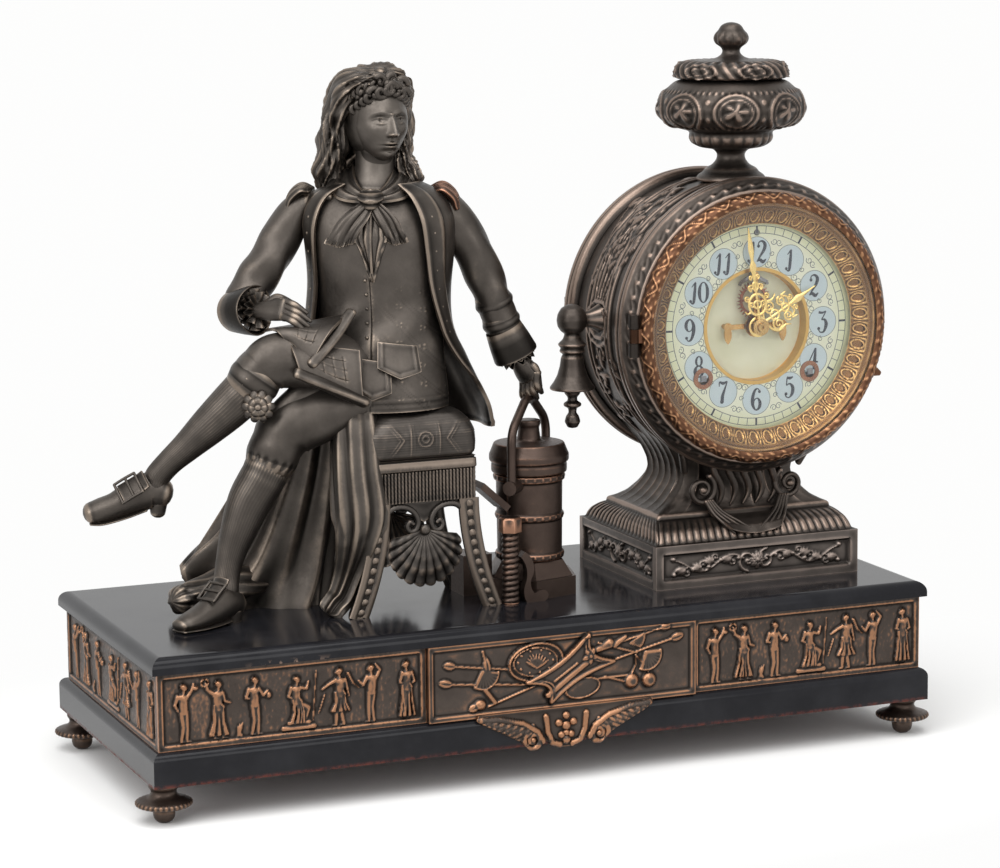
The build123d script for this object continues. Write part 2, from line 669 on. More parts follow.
with BuildPart() as bezel_ring:
    add(bezel_blank)
    add(hinge_barrel(BEZEL_HINGE_X, BEZEL_HINGE_Y, -HINGE_BARREL_LENGTH / 2, HINGE_BARREL_LENGTH / 2))
    with BuildSketch(Plane.XY.offset(DIAL_Z - HINGE_BARREL_LENGTH / 2)):
        with Locations((BEZEL_HINGE_X + HINGE_BARREL_RADIUS, BEZEL_HINGE_Y - HINGE_BARREL_RADIUS / 2)):
            Rectangle(2 * HINGE_BARREL_RADIUS, HINGE_BARREL_RADIUS)
    extrude(amount=HINGE_BARREL_LENGTH)
    with BuildSketch(dial_plane(BEZEL_BACK_Y, -30.0, BEZEL_RADIUS - 5.0)):
        with Locations(Rotation(0, 0, -22)):
            SlotOverall(16.0, 7.0)
    extrude(amount=BEZEL_DEPTH - 4.0)
    add(
        hinge_bore(BEZEL_HINGE_X, BEZEL_HINGE_Y, HINGE_PIN_RADIUS + RUNNING_CLEARANCE),
        mode=Mode.SUBTRACT,
    )
    with BuildSketch(dial_plane(BEZEL_BACK_Y)):
        Circle(GLASS_RADIUS + RUNNING_CLEARANCE)
    extrude(amount=BEZEL_BACK_Y - GLASS_FRONT_Y, mode=Mode.SUBTRACT)

with BuildPart() as bezel_glass:
    with BuildSketch(dial_plane(TRIM_FRONT_Y)):
        Circle(GLASS_RADIUS)
    extrude(amount=GLASS_THICKNESS)
    chamfer(bezel_glass.edges().group_by(Axis.Y)[0], 0.8)

bezel_trim = turned_on_clock(
    [
        (GLASS_RADIUS, TRIM_FRONT_Y, 0),
        (GLASS_RADIUS, TRIM_FRONT_Y + 2.0, 0),
        (GLASS_RADIUS - 2.0, TRIM_FRONT_Y + 2.0, -0.8),
        (TRIM_INNER_RADIUS + TRIM_WALL, TRIM_BACK_Y, 0),
        (TRIM_INNER_RADIUS, TRIM_BACK_Y, 0.8),
        (BEZEL_SIGHT_RADIUS - 1.0, TRIM_FRONT_Y, 0),
    ]
)

with BuildPart() as rear_cover:
    with BuildSketch(dial_plane(COVER_Y + COVER_THICKNESS)):
        Circle(COVER_RADIUS)
    extrude(amount=COVER_THICKNESS)
    with BuildSketch(dial_plane(COVER_Y)):
        Circle(BACK_OPENING_RADIUS - 1.0)
        Circle(BACK_OPENING_RADIUS - 1.0 - COVER_THICKNESS, mode=Mode.SUBTRACT)
    extrude(amount=DRUM_WALL)
    add(hinge_barrel(COVER_HINGE_X, COVER_HINGE_Y, -HINGE_BARREL_LENGTH / 2, HINGE_BARREL_LENGTH / 2))
    with BuildSketch(Plane.XY.offset(DIAL_Z - HINGE_BARREL_LENGTH / 2)):
        with Locations((COVER_HINGE_X + HINGE_BARREL_RADIUS, COVER_Y + COVER_THICKNESS / 2)):
            Rectangle(2 * HINGE_BARREL_RADIUS + 2.0, COVER_THICKNESS)
    extrude(amount=HINGE_BARREL_LENGTH)
    add(
        hinge_bore(COVER_HINGE_X, COVER_HINGE_Y, HINGE_PIN_RADIUS + RUNNING_CLEARANCE),
        mode=Mode.SUBTRACT,
    )

# Dial: porcelain ring on a pan, brass well wall, recessed centre, winding grommets
WIND_POINTS = [(-WIND_X, -WIND_DROP), (WIND_X, -WIND_DROP)]
WELL_OUTSIDE = WELL_RADIUS + WELL_WALL
CENTRE_Y = DIAL_Y + WELL_DEPTH
with BuildPart() as dial_pan:
    with BuildSketch(dial_plane(PAN_Y + PAN_THICKNESS)):
        Circle(PAN_RADIUS)
        Circle(WELL_OUTSIDE + RUNNING_CLEARANCE, mode=Mode.SUBTRACT)
        with Locations(WIND_POINTS):
            Circle(GROMMET_BORE, mode=Mode.SUBTRACT)
        with Locations((0, REGULATOR_RISE)):
            Circle(REGULATOR_RADIUS + SEAT_GAP, mode=Mode.SUBTRACT)
    extrude(amount=PAN_THICKNESS)

with BuildPart() as dial_ring:
    with BuildSketch(dial_plane(PAN_Y)):
        Circle(DIAL_RADIUS)
        Circle(WELL_OUTSIDE + RUNNING_CLEARANCE, mode=Mode.SUBTRACT)
        with Locations(WIND_POINTS):
            Circle(GROMMET_RADIUS, mode=Mode.SUBTRACT)
        with Locations((0, REGULATOR_RISE)):
            Circle(REGULATOR_RADIUS + SEAT_GAP, mode=Mode.SUBTRACT)
    extrude(amount=DIAL_THICKNESS)

with BuildPart() as winding_grommets:
    with BuildSketch(dial_plane(PAN_Y)):
        with Locations(WIND_POINTS):
            Circle(GROMMET_RADIUS - RUNNING_CLEARANCE)
    extrude(amount=DIAL_THICKNESS)
    with BuildSketch(dial_plane(DIAL_Y)):
        with Locations(WIND_POINTS):
            Circle(GROMMET_RADIUS + 1.1)
    extrude(amount=0.8)
    with BuildSketch(dial_plane(PAN_Y)):
        with Locations(WIND_POINTS):
            Circle(GROMMET_BORE)
    extrude(amount=2 * DIAL_THICKNESS, mode=Mode.SUBTRACT)

PIVOT_RADIUS = 0.8
PIVOT_BORE = PIVOT_RADIUS + RUNNING_CLEARANCE
dial_well_wall = turned_on_clock(
    [
        (WELL_RADIUS, DIAL_Y - 0.6, 0),
        (WELL_OUTSIDE + 1.2, DIAL_Y - 0.6, 0),
        (WELL_OUTSIDE + 1.2, DIAL_Y, 0),
        (WELL_OUTSIDE, DIAL_Y, 0),
        (WELL_OUTSIDE, CENTRE_Y, 0),
        (WELL_RADIUS, CENTRE_Y, 0),
    ]
)
with BuildPart() as dial_well:
    add(dial_well_wall)
    with BuildSketch(dial_plane(CENTRE_Y + CENTRE_THICKNESS)):
        Circle(CENTRE_RADIUS)
        Circle(HOUR_PIPE_RADIUS + 1.0, mode=Mode.SUBTRACT)
        with Locations((0, ESCAPE_RISE), (0, PALLET_RISE)):
            Circle(2 * PIVOT_RADIUS, mode=Mode.SUBTRACT)
    extrude(amount=CENTRE_THICKNESS)

# Escapement in front of the recessed centre: bridge, escape wheel and pallets
BRIDGE_ARM = 18.0
BRIDGE_Y = CENTRE_Y - 4.8
BRIDGE_THICKNESS = 1.2
ESCAPE_Y = CENTRE_Y - 2.3
with BuildPart() as escapement_bridge:
    with BuildSketch(dial_plane(BRIDGE_Y)):
        Rectangle(2 * BRIDGE_ARM + 4.0, 3.0)
        Circle(HOUR_PIPE_RADIUS + 3.6)
        with Locations((0, PALLET_RISE / 2)):
            Rectangle(2.8, PALLET_RISE)
        with Locations((0, ESCAPE_RISE)):
            Circle(2.6)
        with Locations((0, PALLET_RISE)):
            Circle(1.9)
        for side in (-BRIDGE_ARM, BRIDGE_ARM):
            with Locations((side, 0)):
                Circle(2.6)
                add(outline([(0, 1.0, 0.6), (-2.3, -4.0, 0.7), (0, -10.0, 0.7), (2.3, -4.0, 0.6)]))
        Circle(HOUR_PIPE_RADIUS + 1.0, mode=Mode.SUBTRACT)
        with Locations((0, ESCAPE_RISE), (0, PALLET_RISE)):
            Circle(PIVOT_BORE, mode=Mode.SUBTRACT)
    extrude(amount=BRIDGE_THICKNESS)
    with BuildSketch(dial_plane(CENTRE_Y)):
        with Locations((-BRIDGE_ARM, 0), (BRIDGE_ARM, 0)):
            Circle(1.5)
    extrude(amount=CENTRE_Y - BRIDGE_Y)

ARBOR_BACK_Y = BACK_PLATE_Y + PLATE_THICKNESS
ARBOR_FRONT_Y = BRIDGE_Y - BRIDGE_THICKNESS
escape_points = []
for tooth in range(ESCAPE_TEETH):
    for radius, share in ((ESCAPE_RADIUS - 2.2, 0.0), (ESCAPE_RADIUS, 0.12), (ESCAPE_RADIUS - 2.2, 0.55)):
        angle = 2 * pi * (tooth + share) / ESCAPE_TEETH
        escape_points.append((radius * cos(angle), radius * sin(angle)))
with BuildPart() as escape_wheel:
    with BuildSketch(dial_plane(ESCAPE_Y, ESCAPE_RISE)):
        Polygon(*escape_points, align=None)
        Circle(ESCAPE_RADIUS - 3.6, mode=Mode.SUBTRACT)
        with PolarLocations(0, 2):
            Rectangle(2 * ESCAPE_RADIUS - 6.0, 1.3)
        Circle(2.0)
    extrude(amount=1.0)
    with BuildSketch(dial_plane(ARBOR_BACK_Y, ESCAPE_RISE)):
        Circle(PIVOT_RADIUS)
    extrude(amount=ARBOR_BACK_Y - ARBOR_FRONT_Y)

PALLET_DROP = PALLET_RISE - ESCAPE_RISE
PALLET_SPAN = degrees(acos(ESCAPE_RADIUS / PALLET_DROP))
PALLET_ORBIT = ESCAPE_RADIUS + PALLET_CLEARANCE + PALLET_RADIUS
PALLET_X = PALLET_ORBIT * sin(radians(PALLET_SPAN))
PALLET_Z = PALLET_ORBIT * cos(radians(PALLET_SPAN)) - PALLET_DROP
CRUTCH_LENGTH = 30.0
CRUTCH_Y = ARBOR_BACK_Y + 2.0
PENDULUM_Y = ARBOR_BACK_Y + 5.5
with BuildPart() as pallet_anchor:
    with BuildSketch(dial_plane(ESCAPE_Y, PALLET_RISE)):
        Circle(1.8)
        for side in (-1, 1):
            arm = [(0, 1.4, 0), (PALLET_X + 0.8, PALLET_Z + 1.4, 0), (PALLET_X, PALLET_Z - 0.8, 0)]
            arm += [(PALLET_X - 1.0, PALLET_Z + 0.3, 0), (0, -1.4, 0)]
            Polygon(*[(side * x, y) for x, y, _ in arm][::side], align=None)
    extrude(amount=1.0)
    with BuildSketch(dial_plane(ESCAPE_Y + 0.4, PALLET_RISE)):
        with Locations((-PALLET_X, PALLET_Z), (PALLET_X, PALLET_Z)):
            Circle(PALLET_RADIUS)
    extrude(amount=1.8)
    with BuildSketch(dial_plane(CRUTCH_Y, PALLET_RISE)):
        Circle(PIVOT_RADIUS)
    extrude(amount=CRUTCH_Y - ARBOR_FRONT_Y)
    with BuildSketch(dial_plane(CRUTCH_Y, PALLET_RISE)):
        with Locations((0, -CRUTCH_LENGTH / 2)):
            Rectangle(1.8, CRUTCH_LENGTH)
        with Locations((0, -CRUTCH_LENGTH)):
            Rectangle(6.0, 2.0)
        Circle(1.8)
    extrude(amount=1.0)
    with BuildSketch(dial_plane(CRUTCH_Y, PALLET_RISE)):
        with Locations((-2.5, -CRUTCH_LENGTH), (2.5, -CRUTCH_LENGTH)):
            Rectangle(1.0, 2.0)
    extrude(amount=-(PENDULUM_Y - CRUTCH_Y + 1.5))

# Movement frame: two plates, pillars between them and out to the dial pan, mainsprings
PILLAR_X = PLATE_WIDTH / 2 - PILLAR_INSET
PILLAR_POINTS = [
    (side * PILLAR_X, rise)
    for side in (-1, 1)
    for rise in (PLATE_TOP - PILLAR_INSET, PLATE_BOTTOM + PILLAR_INSET)
]
HAMMER_X = 33.0
HAMMER_RISE = -47.0


def movement_plate(y, lug):
    """A brass plate bored for every arbor, with an upper lug for the regulator if wanted."""
    with BuildPart() as plate:
        with BuildSketch(dial_plane(y + PLATE_THICKNESS)):
            with Locations((0, (PLATE_TOP + PLATE_BOTTOM) / 2)):
                RectangleRounded(PLATE_WIDTH, PLATE_TOP - PLATE_BOTTOM, PILLAR_INSET)
            if lug:
                with Locations((0, REGULATOR_RISE / 2)):
                    Rectangle(12.0, REGULATOR_RISE + 8.0)
                with Locations((0, REGULATOR_RISE)):
                    Circle(REGULATOR_RADIUS + RUNNING_CLEARANCE, mode=Mode.SUBTRACT)
            with Locations(WIND_POINTS):
                Circle(ARBOR_RADIUS + RUNNING_CLEARANCE, mode=Mode.SUBTRACT)
            with Locations((0, ESCAPE_RISE), (0, PALLET_RISE), (HAMMER_X, HAMMER_RISE)):
                Circle(PIVOT_BORE, mode=Mode.SUBTRACT)
            Circle(CENTRE_ARBOR_RADIUS + RUNNING_CLEARANCE, mode=Mode.SUBTRACT)
        extrude(amount=PLATE_THICKNESS)
    return plate.part


STUD_X = GEAR_MODULE * (CANNON_LEAVES + MINUTE_WHEEL_TEETH) / 2
STUD_LENGTH = 5.4
with BuildPart() as front_plate:
    add(movement_plate(FRONT_PLATE_Y, True))
    with BuildSketch(dial_plane(FRONT_PLATE_Y, 0, STUD_X)):
        Circle(PIVOT_RADIUS)
    extrude(amount=STUD_LENGTH)

POST_GAP = 2.0
with BuildPart() as back_plate:
    add(movement_plate(BACK_PLATE_Y, False))
    with BuildSketch(dial_plane(PENDULUM_Y + 2.0, PALLET_RISE)):
        with Locations((0, POST_GAP + 4.0)):
            Rectangle(6.0, 7.0)
    extrude(amount=PENDULUM_Y + 2.0 - ARBOR_BACK_Y)

with BuildPart() as plate_pillars:
    with BuildSketch(dial_plane(BACK_PLATE_Y)):
        with Locations(PILLAR_POINTS):
            Circle(PILLAR_RADIUS)
    extrude(amount=PLATE_SPACING)
    with BuildSketch(dial_plane(FRONT_PLATE_Y)):
        with Locations(PILLAR_POINTS):
            Circle(POST_RADIUS)
    extrude(amount=FRONT_PLATE_Y - PAN_Y - PAN_THICKNESS)

with BuildPart() as mainsprings:
    with BuildSketch(dial_plane(BACK_PLATE_Y - (PLATE_SPACING - MAINSPRING_WIDTH) / 2)):
        with Locations(WIND_POINTS):
            Circle(MAINSPRING_RADIUS)
        with Locations(WIND_POINTS):
            Circle(ARBOR_RADIUS + SEAT_GAP, mode=Mode.SUBTRACT)
    extrude(amount=MAINSPRING_WIDTH)


def winding_arbor(across):
    """A winding arbor through both plates, squared where the key fits."""
    square = 1.3 * ARBOR_RADIUS
    with BuildPart() as arbor:
        with BuildSketch(dial_plane(ARBOR_BACK_Y, -WIND_DROP, across)):
            Circle(ARBOR_RADIUS)
        extrude(amount=ARBOR_BACK_Y - PAN_Y)
        with BuildSketch(dial_plane(PAN_Y, -WIND_DROP, across)):
            Rectangle(square, square)
        extrude(amount=DIAL_THICKNESS + 1.5)
    return arbor.part


time_winding_arbor = winding_arbor(WIND_X)
strike_winding_arbor = winding_arbor(-WIND_X)

with BuildPart() as regulator_arbor:
    with BuildSketch(dial_plane(FRONT_PLATE_Y + PLATE_THICKNESS, REGULATOR_RISE)):
        Circle(REGULATOR_RADIUS)
    extrude(amount=FRONT_PLATE_Y + PLATE_THICKNESS - PAN_Y)
    with BuildSketch(dial_plane(PAN_Y, REGULATOR_RISE)):
        Rectangle(1.3 * REGULATOR_RADIUS, 1.3 * REGULATOR_RADIUS)
    extrude(amount=DIAL_THICKNESS)

# Motion work and hands
MESH_Y = FRONT_PLATE_Y - 1.3
HOUR_WHEEL_Y = MESH_Y - 2.5
HOUR_HAND_Y = DIAL_Y - 2.2
MINUTE_HAND_Y = HOUR_HAND_Y - 2.4
CANNON_RADIUS = 1.7
with BuildPart() as cannon_pinion:
    with BuildSketch(dial_plane(MESH_Y)):
        Polygon(*gear_outline(CANNON_LEAVES, 0.0), align=None)
    extrude(amount=GEAR_THICKNESS)
    with BuildSketch(dial_plane(MESH_Y)):
        Circle(CANNON_RADIUS)
    extrude(amount=MESH_Y - MINUTE_HAND_Y)
    with BuildSketch(dial_plane(ARBOR_BACK_Y)):
        Circle(CENTRE_ARBOR_RADIUS)
    extrude(amount=ARBOR_BACK_Y - MINUTE_HAND_Y + 2.0)

with BuildPart() as minute_wheel:
    with BuildSketch(dial_plane(MESH_Y, 0, STUD_X)):
        Polygon(*gear_outline(MINUTE_WHEEL_TEETH, 180.0 / MINUTE_WHEEL_TEETH), align=None)
    extrude(amount=GEAR_THICKNESS)
    with BuildSketch(dial_plane(MESH_Y, 0, STUD_X)):
        Polygon(*gear_outline(MINUTE_PINION_LEAVES, 0.0), align=None)
    extrude(amount=MESH_Y - HOUR_WHEEL_Y + GEAR_THICKNESS)
    with BuildSketch(dial_plane(MESH_Y, 0, STUD_X)):
        Circle(PIVOT_BORE)
    extrude(amount=2 * STUD_LENGTH, mode=Mode.SUBTRACT)

with BuildPart() as hour_wheel:
    with BuildSketch(dial_plane(HOUR_WHEEL_Y)):
        Polygon(*gear_outline(HOUR_WHEEL_TEETH, 180.0 / HOUR_WHEEL_TEETH), align=None)
    extrude(amount=GEAR_THICKNESS)
    with BuildSketch(dial_plane(HOUR_WHEEL_Y)):
        Circle(HOUR_PIPE_RADIUS)
    extrude(amount=HOUR_WHEEL_Y - HOUR_HAND_Y + HAND_THICKNESS + 0.4)
    with BuildSketch(dial_plane(HOUR_WHEEL_Y)):
        Circle(CANNON_RADIUS + RUNNING_CLEARANCE)
    extrude(amount=HOUR_WHEEL_Y - HOUR_HAND_Y + 3.0, mode=Mode.SUBTRACT)


def spear(start, end, half_width):
    """A slim leaf-shaped point along +Y."""
    swell = start + 0.22 * (end - start)
    return outline([(0, start, 0), (half_width, swell, 0.4), (0, end, 0.4), (-half_width, swell, 0)])


with BuildPart() as hour_hand:
    with BuildSketch(dial_plane(HOUR_HAND_Y)):
        with Locations(Location((0, 0, 0), (0, 0, -HOUR_HAND_ANGLE))):
            add(spear(20.0, HOUR_HAND_LENGTH, 2.2))
            Rectangle(1.6, 30.0, align=(Align.CENTER, Align.MIN))
            with Locations((-4.6, 12.0), (4.6, 12.0), (-4.6, 21.0), (4.6, 21.0)):
                Circle(5.2)
                Circle(3.4, mode=Mode.SUBTRACT)
            add(spear(2.0, 33.0, 1.9))
        Circle(HOUR_PIPE_RADIUS + 3.0)
        Circle(HOUR_PIPE_RADIUS + RUNNING_CLEARANCE, mode=Mode.SUBTRACT)
    extrude(amount=HAND_THICKNESS)

with BuildPart() as minute_hand:
    with BuildSketch(dial_plane(MINUTE_HAND_Y)):
        with Locations(Location((0, 0, 0), (0, 0, -MINUTE_HAND_ANGLE))):
            add(spear(12.0, MINUTE_HAND_LENGTH, 1.8))
            with Locations((0, 14.0)):
                Circle(6.8)
                Circle(5.0, mode=Mode.SUBTRACT)
            with Locations((-2.6, 24.5), (2.6, 24.5)):
                Circle(3.2)
                Circle(1.9, mode=Mode.SUBTRACT)
            with Locations((0, 32.0)):
                Circle(2.6)
            add(spear(3.0, 36.0, 1.5))
        Circle(4.6)
        Circle(CENTRE_ARBOR_RADIUS + RUNNING_CLEARANCE, mode=Mode.SUBTRACT)
    extrude(amount=HAND_THICKNESS)

NUT_Y = MINUTE_HAND_Y - HAND_THICKNESS
hand_nut = turned_on_clock(
    [
        (CENTRE_ARBOR_RADIUS + RUNNING_CLEARANCE, NUT_Y, 0),
        (CENTRE_ARBOR_RADIUS + RUNNING_CLEARANCE, NUT_Y - 2.4, 0),
        (2.6, NUT_Y - 2.4, 0),
        (3.0, NUT_Y - 1.4, 0),
        (5.0, NUT_Y - 1.2, 0),
        (5.0, NUT_Y, 0),
    ]
)

# Pendulum, coiled gong on its stand, and strike hammer
with BuildPart() as pendulum:
    with BuildSketch(dial_plane(PENDULUM_Y + 3.0, PALLET_RISE)):
        with Locations((0, -PENDULUM_LENGTH + BOB_RADIUS)):
            Circle(BOB_RADIUS)
    extrude(amount=6.0)
    fillet(pendulum.edges().filter_by(GeomType.CIRCLE), 2.4)
    with BuildSketch(dial_plane(PENDULUM_Y + 0.6, PALLET_RISE)):
        Rectangle(1.6, POST_GAP, align=(Align.CENTER, Align.MIN))
        Rectangle(1.6, PENDULUM_LENGTH, align=(Align.CENTER, Align.MAX))
    extrude(amount=1.2)

GONG_Y = PENDULUM_Y + 10.5
GONG_INNER = GONG_RADIUS - (GONG_HALF_TURNS - 1) * GONG_PITCH / 2
with BuildPart() as gong:
    with BuildLine(dial_plane(GONG_Y)) as gong_path:
        for half in range(GONG_HALF_TURNS):
            centre = 0.0 if half % 2 == 0 else -GONG_PITCH / 2
            CenterArc((centre, 0), GONG_RADIUS - half * GONG_PITCH / 2, 180.0 * half, 180.0)
        Line((-GONG_INNER, 0), (-GONG_INNER, -2 * GONG_WIRE))
    with BuildSketch(Plane(gong_path.line @ 0, z_dir=gong_path.line % 0)):
        Circle(GONG_WIRE)
    sweep()
gong_tip = gong_path.line @ 1
GONG_SAMPLES = 360
gong_points = [gong_path.line @ (step / GONG_SAMPLES) for step in range(GONG_SAMPLES + 1)]
gong_apart = GONG_SAMPLES // GONG_HALF_TURNS
gong_gap = min(
    (first - second).length - 2 * GONG_WIRE
    for index, first in enumerate(gong_points)
    for second in gong_points[index + gong_apart :]
)
print("least gap between turns of the gong", round(gong_gap, 2), "mm")

GONG_BLOCK = 5.6
with BuildPart() as gong_stand_blank:
    with BuildSketch(Plane(origin=(gong_tip.X, GONG_Y + 6.0, gong_tip.Z), x_dir=(1, 0, 0), z_dir=(0, -1, 0))):
        Rectangle(GONG_BLOCK, GONG_BLOCK, align=(Align.CENTER, Align.MAX))
    extrude(amount=6.0 + 2 * GONG_WIRE)
    with BuildSketch(Plane(origin=(gong_tip.X, GONG_Y + 6.0, gong_tip.Z), x_dir=(1, 0, 0), z_dir=(0, -1, 0))):
        Rectangle(GONG_BLOCK, DRUM_BORE - 4.0, align=(Align.CENTER, Align.MAX))
    extrude(amount=2.4)
gong_stand = less(gong_stand_blank.part, drum_shell)

HAMMER_HEAD = 5.0
HAMMER_HEAD_X = GONG_RADIUS + GONG_WIRE + HAMMER_HEAD + 0.8
with BuildPart() as hammer:
    with BuildSketch(dial_plane(GONG_Y + 1.2, HAMMER_RISE, HAMMER_X)):
        Circle(PIVOT_RADIUS)
    extrude(amount=GONG_Y + 1.2 - BACK_PLATE_Y)
    with BuildSketch(dial_plane(GONG_Y + 1.2)):
        with BuildLine():
            Polyline(
                (HAMMER_X - 1.6, HAMMER_RISE - 1.0),
                (HAMMER_X + 1.6, HAMMER_RISE - 1.6),
                (HAMMER_HEAD_X + 1.4, HAMMER_RISE + 16.0),
                (HAMMER_HEAD_X + 1.4, 0),
                (HAMMER_HEAD_X - 1.4, 0),
                (HAMMER_HEAD_X - 1.4, HAMMER_RISE + 17.0),
                close=True,
            )
        make_face()
    extrude(amount=2.4)
    with BuildSketch(dial_plane(GONG_Y + 4.0)):
        with Locations((HAMMER_HEAD_X, 0)):
            Circle(HAMMER_HEAD)
    extrude(amount=8.0)

# Stool: crowned cushion on a fringed rail, sabre legs, scallop shells front and back
with BuildPart() as stool_cushion:
    for rise, grow, corner in ((0.0, -2.0, 6.0), (0.42, 3.0, 10.0), (0.78, -5.0, 12.0), (1.0, -22.0, 16.0)):
        with BuildSketch(Plane.XY.offset(CUSHION_Z + rise * CUSHION_HEIGHT)):
            with Locations((STOOL_X, STOOL_Y)):
                RectangleRounded(STOOL_WIDTH + grow, STOOL_DEPTH + grow, corner)
    loft()

with BuildPart() as stool_seat:
    with BuildSketch(Plane.XY.offset(STOOL_RAIL_Z)):
        with Locations((STOOL_X, STOOL_Y)):
            RectangleRounded(STOOL_WIDTH, STOOL_DEPTH, 3.0)
    extrude(amount=RAIL_HEIGHT)
    with BuildSketch(Plane.XY.offset(STOOL_RAIL_Z - FRINGE_HEIGHT)):
        with Locations((STOOL_X, STOOL_Y)):
            RectangleRounded(STOOL_WIDTH - 1.0, STOOL_DEPTH - 1.0, 3.0)
    with BuildSketch(Plane.XY.offset(STOOL_RAIL_Z)):
        with Locations((STOOL_X, STOOL_Y)):
            RectangleRounded(STOOL_WIDTH - 3.0, STOOL_DEPTH - 3.0, 3.0)
    loft(ruled=True)

STOOL_LEG_TOP = STOOL_RAIL_Z - FRINGE_HEIGHT
HALF_STOOL = STOOL_WIDTH / 2 - 1.0
LEG_Y = STOOL_DEPTH / 2 - STOOL_LEG_THICKNESS / 2 - 0.6
with BuildPart() as stool_legs:
    for leg_y in (STOOL_Y - LEG_Y, STOOL_Y + LEG_Y):
        with BuildSketch(facing_front(leg_y + STOOL_LEG_THICKNESS / 2)):
            for side in (-1, 1):
                with Locations((STOOL_X, TOP_Z)):
                    foot_out = HALF_STOOL + STOOL_LEG_SPLAY
                    stations = [
                        (side * HALF_STOOL, STOOL_LEG_HEIGHT, side * 4.0),
                        (side * foot_out, 0, 0),
                        (side * (foot_out - STOOL_LEG_WIDTH), 0, -side * 4.0),
                        (side * (HALF_STOOL - STOOL_LEG_WIDTH), STOOL_LEG_HEIGHT, 0),
                    ]
                    add(outline(stations))
        extrude(amount=STOOL_LEG_THICKNESS)

SHELL_Z = STOOL_LEG_TOP - SHELL_DROP
shell_points = []
for lobe in range(SHELL_LOBES * 4 + 1):
    turn = radians(200.0 + 140.0 * lobe / (SHELL_LOBES * 4))
    reach = SHELL_RADIUS * (1.0 + 0.05 * cos(lobe * pi / 2)) * (1.02 + 0.1 * abs(sin(turn)))
    shell_points.append((reach * cos(turn), reach * sin(turn)))
with BuildPart() as stool_shells:
    for shell_y in (STOOL_Y - STOOL_DEPTH / 2 + 3.0, STOOL_Y + STOOL_DEPTH / 2 - 0.6):
        with BuildSketch(facing_front(shell_y + 2.4)):
            with Locations((STOOL_X, SHELL_Z)):
                Polygon((-6.0, SHELL_DROP), *shell_points, (6.0, SHELL_DROP), align=None)
        extrude(amount=2.4)
stool_frame = [stool_legs.part, less(stool_shells.part, stool_legs.part)]

# Boiler with its bail, and the small iron work beside it
boiler_base_z = TOP_Z + BOILER_BASE_HEIGHT
with BuildPart() as boiler_base:
    with BuildSketch(Plane.XY.offset(TOP_Z)):
        with Locations(Location((BOILER_X, BOILER_Y, 0), (0, 0, 15))):
            RegularPolygon(BOILER_BASE_RADIUS, 6)
    extrude(amount=0.55 * BOILER_BASE_HEIGHT)
    with BuildSketch(Plane.XY.offset(TOP_Z + 0.55 * BOILER_BASE_HEIGHT)):
        with Locations(Location((BOILER_X, BOILER_Y, 0), (0, 0, 15))):
            RegularPolygon(BOILER_BASE_RADIUS - 2.0, 6)
    with BuildSketch(Plane.XY.offset(boiler_base_z)):
        with Locations(Location((BOILER_X, BOILER_Y, 0), (0, 0, 15))):
            RegularPolygon(BOILER_RADIUS + 2.0, 6)
    loft()

boiler_body = turned(
    [
        (0, 0, 0),
        (BOILER_RADIUS, 0, 0),
        (BOILER_RADIUS + 0.6, BOILER_HEIGHT - 4.0, 0),
        (BOILER_RADIUS + 2.0, BOILER_HEIGHT, 0),
        (0, BOILER_HEIGHT, 0),
    ],
    BOILER_X,
    BOILER_Y,
    boiler_base_z,
)
BOILER_LID_Z = boiler_base_z + BOILER_HEIGHT
boiler_lid = turned(
    [
        (0, 0, 0),
        (BOILER_LID_RADIUS - 1.5, 0, 0),
        (BOILER_LID_RADIUS - 1.0, 6.5, 0),
        (BOILER_LID_RADIUS, 7.0, 0.4),
        (BOILER_LID_RADIUS, 11.5, 0),
        (BOILER_LID_RADIUS - 3.0, BOILER_LID_HEIGHT, 0),
        (7.0, BOILER_LID_HEIGHT, 0),
        (6.0, BOILER_LID_HEIGHT + 9.0, 0),
        (7.0, BOILER_LID_HEIGHT + 11.0, 0),
        (7.0, BOILER_LID_HEIGHT + 13.0, 0),
        (0, BOILER_LID_HEIGHT + 13.0, 0),
    ],
    BOILER_X,
    BOILER_Y,
    BOILER_LID_Z,
)
BAIL_TURN = Vector(0.7071, 0.7071, 0)
BAIL_HALF = BOILER_LID_RADIUS + BAIL_RADIUS + BAIL_GAP
BAIL_Z = boiler_base_z + BOILER_HEIGHT - BAIL_RADIUS - 2.6
BAIL_CORNER = 15.0
BAIL_OUTSIDE = BAIL_HALF + BAIL_RADIUS + 1.0
bail_plane = Plane(origin=(BOILER_X, BOILER_Y, BAIL_Z), x_dir=BAIL_TURN, z_dir=(0.7071, -0.7071, 0))
with BuildPart() as boiler_bail:
    with BuildLine(bail_plane) as bail_path:
        FilletPolyline(
            (-BAIL_HALF, 0),
            (-BAIL_HALF, BAIL_RISE - 16.0),
            (-5.0, BAIL_RISE),
            (5.0, BAIL_RISE),
            (BAIL_HALF, BAIL_RISE - 16.0),
            (BAIL_HALF, 0),
            radius=[BAIL_CORNER, 8.0, 8.0, BAIL_CORNER],
        )
    with BuildSketch(Plane(bail_path.line @ 0, z_dir=bail_path.line % 0)):
        Circle(BAIL_RADIUS)
    sweep()
    for side in (-1, 1):
        boss = Vector(BOILER_X, BOILER_Y, BAIL_Z) + BAIL_TURN * (side * BAIL_OUTSIDE)
        with BuildSketch(Plane(boss, z_dir=BAIL_TURN * -side)):
            Circle(BAIL_RADIUS + 1.6)
        extrude(amount=BAIL_OUTSIDE - BOILER_RADIUS)
    add(boiler_body, mode=Mode.SUBTRACT)
    add(boiler_lid, mode=Mode.SUBTRACT)

